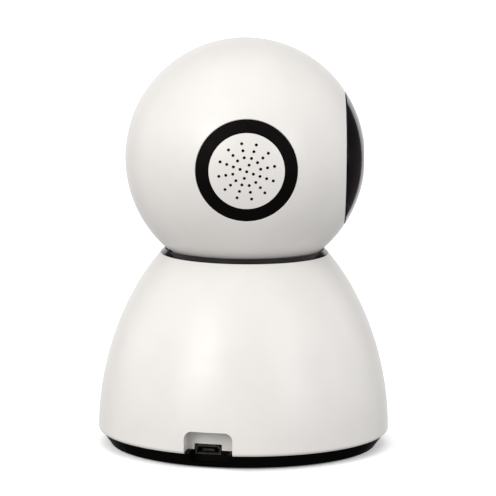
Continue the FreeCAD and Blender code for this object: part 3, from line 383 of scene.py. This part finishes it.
wire_colours = {
    "red": (0.5, 0.02, 0.015),
    "black": (0.01, 0.01, 0.01),
    "white": (0.7, 0.7, 0.68),
    "green": (0.02, 0.25, 0.05),
    "yellow": (0.65, 0.42, 0.02),
}
for count, (colour_name, colour) in enumerate(wire_colours.items()):
    jacket = moulded("wire_" + colour_name, colour, 0.5, 0.0004, 0.000004)
    tube = twisted_wire(2 * np.pi * count / 5)
    wire = skin("neck_wire_" + colour_name, tube, jacket, "turntable", wrap_rows=False)
    if count == 0:
        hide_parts("neck_cable")

# -- Base shell -------------------------------------------------------------------------------
# The white dome of the base, moulded in one piece with its inlet liner, screw posts and
# bosses. Satin white ABS, polished in the tool and then given a very fine spark texture.

white_shell = moulded(
    "satin_white", (0.625, 0.607, 0.588), 0.36, 0.00025, 0.0000035, Specular_IOR_Level=0.42
)
dress(white_shell, "base_shell")

# -- Collar -----------------------------------------------------------------------------------
# A black ring moulded in ABS and polished. It is pressed into the mouth of the dome, under the
# ball, and keeps the gap between the two dark.

gloss_black = moulded(
    "gloss_black", (0.004, 0.0035, 0.0035), 0.14, 0.0006, 0.000001, Specular_IOR_Level=0.5
)
dress(gloss_black, "collar_ring")

# -- Ball -------------------------------------------------------------------------------------
# Two white half shells in the same satin ABS, pressed together on dowels along a fine seam
# in the plane through the lens.

dress(white_shell, "head_shell_left", "head_shell_right")

# -- Ears -------------------------------------------------------------------------------------
# On each side a matt black ring sits flush in the ball round a white cap. Both caps are pierced
# alike, the right one in front of the loudspeaker, and lined with black acoustic cloth.

ring_black = moulded(
    "ring_black", (0.003, 0.0023, 0.002), 0.55, 0.0002, 0.000004, Specular_IOR_Level=0.05
)
dress(ring_black, "ear_ring_left", "ear_ring_right")
dress(white_shell, "grille_left", "grille_right")
head_centre = np.array([0, 0, 0.089])
cloth_outer, cloth_inner, cloth_edge = 0.0352, 0.03495, 0.0103


def cloth_dish(side):
    """Thin dish turned about X: out along a sphere of the outer radius from the middle to the
    edge, and back along the inner radius, so the sheet is closed."""
    out = np.linspace(0, cloth_edge, 24)
    radius = np.concatenate([out, out[::-1]])
    sphere = np.repeat([cloth_outer, cloth_inner], 24)
    dish = turned(radius, np.sqrt(sphere**2 - radius**2), 72)
    return np.stack([side * dish[..., 2], dish[..., 0], dish[..., 1]], axis=-1)[None] + head_centre


acoustic_cloth, cloth_shader = new_finish("acoustic_cloth", (0.008, 0.008, 0.008), 0.9)
weave = clouds(cloth_shader, 0.00018, 1.0)
threads = remap(cloth_shader, weave, 0.35, 0.65, 0, 1)
tint(cloth_shader, threads, (0.003, 0.003, 0.003), (0.014, 0.014, 0.014))
relief(cloth_shader, weave, 0.00006)
skin("grille_cloth_left", cloth_dish(1), acoustic_cloth, "head", wrap_rows=False)
skin("grille_cloth_right", cloth_dish(-1), acoustic_cloth, "head", wrap_rows=False)

# -- Loudspeaker ------------------------------------------------------------------------------
# A small round driver with a pressed steel basket, a magnet and a shallow cone, glued behind
# the holes of the right ear cap.

dress(sheet_steel, "speaker")

# -- Face frame and boards --------------------------------------------------------------------
# A black frame behind the face carries the lamp board in front and the main board behind,
# with the processor's heat sink and the flat aerial.

dress(dark_moulding, "front_frame", "lens_holder", "ir_cut_filter")
dress(green_board, "main_board")
dress(component_black, "main_board_parts", "face_sensors")
black_board = circuit_board("black_board", (0.006, 0.006, 0.0065), (0.012, 0.012, 0.013))
dress(black_board, "ir_led_board")
aluminium, aluminium_shader = new_finish("brushed_aluminium", (0.6, 0.6, 0.62), 0.35, Metallic=1.0)
polish(aluminium_shader, clouds(aluminium_shader, 0.0003, 3.0, stretch=(1, 1, 30)), 0.25, 0.5)
streaks = clouds(aluminium_shader, 0.002, 3.0, stretch=(1, 1, 6))
tint(aluminium_shader, streaks, (0.5, 0.5, 0.52), (0.68, 0.68, 0.7))
relief(aluminium_shader, clouds(aluminium_shader, 0.0002, 2.0, stretch=(1, 1, 40)), 0.000005)
dress(aluminium, "heatsink")
dress(nickel, "antenna")

# -- Lens -------------------------------------------------------------------------------------
# A black barrel holds three coated glasses and, behind the first, a black stop moulded in steps.
# The sliding infrared filter is behind it, and a rubber sleeve keeps stray lamp light out.

stop_rim = 0.00415
stop_radii = np.array([0.0034, 0.0027, 0.002, 0.0012])
stop_places = np.array([-0.0312, -0.0307, -0.0302, -0.0297, -0.0293])


def stepped_stop():
    """Profile turned about the lens axis: in to the next radius, back to the next place, and so
    on to the middle hole, then out along the flat back to the rim."""
    radius = np.concatenate([[stop_rim], np.repeat(stop_radii, 2), [stop_rim]])
    steps = turned(radius, np.repeat(stop_places, 2), 96)
    return np.stack([steps[..., 0], steps[..., 2], steps[..., 1]], axis=-1)[None] + head_centre


dress(dark_moulding, "lens_barrel")
dress(rubber, "light_seal")
stop_black = moulded(
    "stop_black", (0.006, 0.006, 0.0065), 0.35, 0.00012, 0.000003, Specular_IOR_Level=0.5
)
skin("lens_stop", stepped_stop(), stop_black, "head", sharp=30)
coated_glass, glass_shader = new_finish(
    "coated_glass", (0.96, 0.97, 0.99), 0.03, Transmission_Weight=1.0, IOR=1.62, Specular_IOR_Level=0.12
)
glass_shader.inputs["Specular Tint"].default_value = (0.62, 0.5, 1.0, 1)
polish(glass_shader, clouds(glass_shader, 0.004, 2.0), 0.01, 0.04)
dress(coated_glass, "lens_elements")
filter_glass, filter_shader = new_finish(
    "filter_glass", (0.6, 0.85, 0.9), 0.03, Transmission_Weight=1.0, IOR=1.52
)
polish(filter_shader, clouds(filter_shader, 0.004, 2.0), 0.01, 0.04)
dress(filter_glass, "filter_glasses")

# -- Infrared lamps ---------------------------------------------------------------------------
# Eight square surface-mount lamps, soldered to the lamp board in a ring round the lens. Their
# domed fronts are cast in clear epoxy with a yellow tinge.

lamp_epoxy, lamp_shader = new_finish(
    "lamp_epoxy", (0.85, 0.78, 0.55), 0.08, Transmission_Weight=0.7, IOR=1.5
)
tint(lamp_shader, clouds(lamp_shader, 0.0015, 2.0), (0.75, 0.66, 0.4), (0.92, 0.86, 0.66))
dress(lamp_epoxy, "ir_leds")

# -- Visor and window -------------------------------------------------------------------------
# A polished cap of smoked polycarbonate that carries on the curve of the ball, nearly black
# from outside, with a flat clear window over the lens.

smoked, smoked_shader = new_finish(
    "smoked_visor", (0.03, 0.02, 0.025), 0.06, Transmission_Weight=0.85, IOR=1.4
)
tint(smoked_shader, clouds(smoked_shader, 0.012, 2.0), (0.022, 0.014, 0.018), (0.034, 0.023, 0.028))
polish(smoked_shader, clouds(smoked_shader, 0.006, 2.0), 0.04, 0.09)
dress(smoked, "visor")
window_glass, window_shader = new_finish(
    "window_glass", (0.7, 0.7, 0.74), 0.02, Transmission_Weight=1.0, IOR=1.52, Specular_IOR_Level=0.25
)
polish(window_shader, clouds(window_shader, 0.006, 2.0), 0.01, 0.03)
dress(window_glass, "lens_window")

# -- Studio -----------------------------------------------------------------------------------
# A pale floor that runs out to the horizon under a broad overhead light, two soft boxes on the
# camera's side, two weaker ones behind, and a camera a metre back that looks a little down.

floor_radius, floor_drop = 8.0, 0.0002
world_direct, world_diffuse = 1.1, 0.65
edge_start, edge_end = 0.85, 0.875
room_dark, paper_bright = 0.05, 1.0


def studio_floor():
    """Disc of floor: radius times the cosine and sine of the angle, just below height zero."""
    angle = np.linspace(0, 2 * np.pi, 96, endpoint=False)
    x, y = floor_radius * np.cos(angle), floor_radius * np.sin(angle)
    rim = np.stack([x, y, 0 * angle - floor_drop], axis=-1)
    mesh = bpy.data.meshes.new("studio_floor")
    mesh.from_pydata(rim.tolist(), [], [list(range(96))])
    floor = bpy.data.objects.new("studio_floor", mesh)
    bpy.context.scene.collection.objects.link(floor)
    paper, paper_shader = new_finish("studio_paper", (0.93, 0.93, 0.93), 0.8, Specular_IOR_Level=0.1)
    polish(paper_shader, clouds(paper_shader, 0.05, 2.0), 0.7, 0.9)
    paper_shader.inputs["Emission Color"].default_value = (1, 1, 1, 1)
    paper_shader.inputs["Emission Strength"].default_value = 0.2
    mesh.materials.append(paper)
    floor.visible_diffuse = False
    floor.visible_glossy = False


def hang_light(name, kind, place, aim, power, **settings):
    """Light of one kind at a place, turned towards aim."""
    lamp = bpy.data.lights.new(name, kind)
    lamp.energy = power
    for setting, value in settings.items():
        setattr(lamp, setting, value)
    box = bpy.data.objects.new(name, lamp)
    box.location = place
    box.rotation_euler = (Vector(aim) - Vector(place)).to_track_quat("-Z", "Y").to_euler()
    bpy.context.scene.collection.objects.link(box)
    return box


def soft_box_light(name, place, aim, power, wide, high, **settings):
    """Rectangular area light, wide by high metres."""
    shape = {"shape": "RECTANGLE", "size": wide, "size_y": high}
    return hang_light(name, "AREA", place, aim, power, **shape, **settings)


def studio_camera():
    """Camera a metre from the point it looks at, rolled a fraction of a degree. The way out to
    it is the sine and minus the cosine of the azimuth times the elevation's cosine, then the
    elevation's sine, and the aim is moved a little right and down from the object's middle."""
    middle = Vector((0, 0, 0.064))
    move_right, move_down = 0.00105, 0.00315
    azimuth, elevation, roll = np.radians([-90.8, 8.29, 0.40])
    level = np.cos(elevation)
    out = Vector((np.sin(azimuth) * level, -np.cos(azimuth) * level, np.sin(elevation)))
    right = out.cross(Vector((0, 0, 1))).normalized() * -1
    up = out.cross(right)
    aim = middle + right * move_right - up * move_down
    across = right * np.cos(roll) + up * np.sin(roll)
    upward = up * np.cos(roll) - right * np.sin(roll)
    lens = bpy.data.cameras.new("camera")
    lens.lens = 234.9
    lens.sensor_width = 36
    lens.clip_end = 30
    camera = bpy.data.objects.new("camera", lens)
    camera.matrix_world = Matrix.Translation(aim + out) @ Matrix((across, upward, out)).transposed().to_4x4()
    bpy.context.scene.collection.objects.link(camera)
    bpy.context.scene.camera = camera


def blend_values(tree, factor, first, second):
    """Number that goes from first to second as the factor goes from 0 to 1."""
    mix = tree.nodes.new("ShaderNodeMix")
    tree.links.new(factor, mix.inputs["Factor"])
    for socket, value in zip(("A", "B"), (first, second)):
        if isinstance(value, float):
            mix.inputs[socket].default_value = value
        else:
            tree.links.new(value, mix.inputs[socket])
    return mix.outputs["Result"]


def studio_sky():
    """White backdrop seen directly, an even dimmer light on the object from all round, and in
    its gloss a dark room with a bright backdrop within about 30 degrees of +X."""
    world = bpy.data.worlds.new("studio_sky")
    world.use_nodes = True
    tree = world.node_tree
    backdrop = tree.nodes["Background"]
    backdrop.inputs["Color"].default_value = (1, 1, 1, 1)
    path = tree.nodes.new("ShaderNodeLightPath")
    place = tree.nodes.new("ShaderNodeTexCoord")
    towards = tree.nodes.new("ShaderNodeVectorMath")
    towards.operation = "DOT_PRODUCT"
    towards.inputs[1].default_value = (1, 0, 0)
    tree.links.new(place.outputs["Generated"], towards.inputs[0])
    paper = tree.nodes.new("ShaderNodeMapRange")
    band = (edge_start, edge_end, room_dark, paper_bright)
    for socket, value in zip(("From Min", "From Max", "To Min", "To Max"), band):
        paper.inputs[socket].default_value = value
    tree.links.new(towards.outputs["Value"], paper.inputs["Value"])
    indirect = blend_values(tree, path.outputs["Is Glossy Ray"], world_diffuse, paper.outputs["Result"])
    strength = blend_values(tree, path.outputs["Is Camera Ray"], indirect, world_direct)
    tree.links.new(strength, backdrop.inputs["Strength"])
    bpy.context.scene.world = world


studio_floor()
hang_light("overhead", "SUN", (-0.6, 0.15, 2), (0, 0, 0), 1.1, angle=np.radians(60))
soft_box_light("key_box", (-0.95, 0.72, 0.6), (0, 0, 0.08), 8.8, 0.6, 0.7, color=(1, 0.985, 0.965))
soft_box_light("fill_box", (-0.95, -0.8, 0.5), (0, 0, 0.08), 4.2, 0.5, 0.7)
for side in (-1, 1):
    rim_box = soft_box_light("rim_box", (0.3, side, 0.3), (0, 0, 0.06), 3.2, 0.5, 0.6)
    rim_box.visible_glossy = False
studio_sky()
studio_camera()
bpy.context.scene.view_settings.view_transform = "Standard"
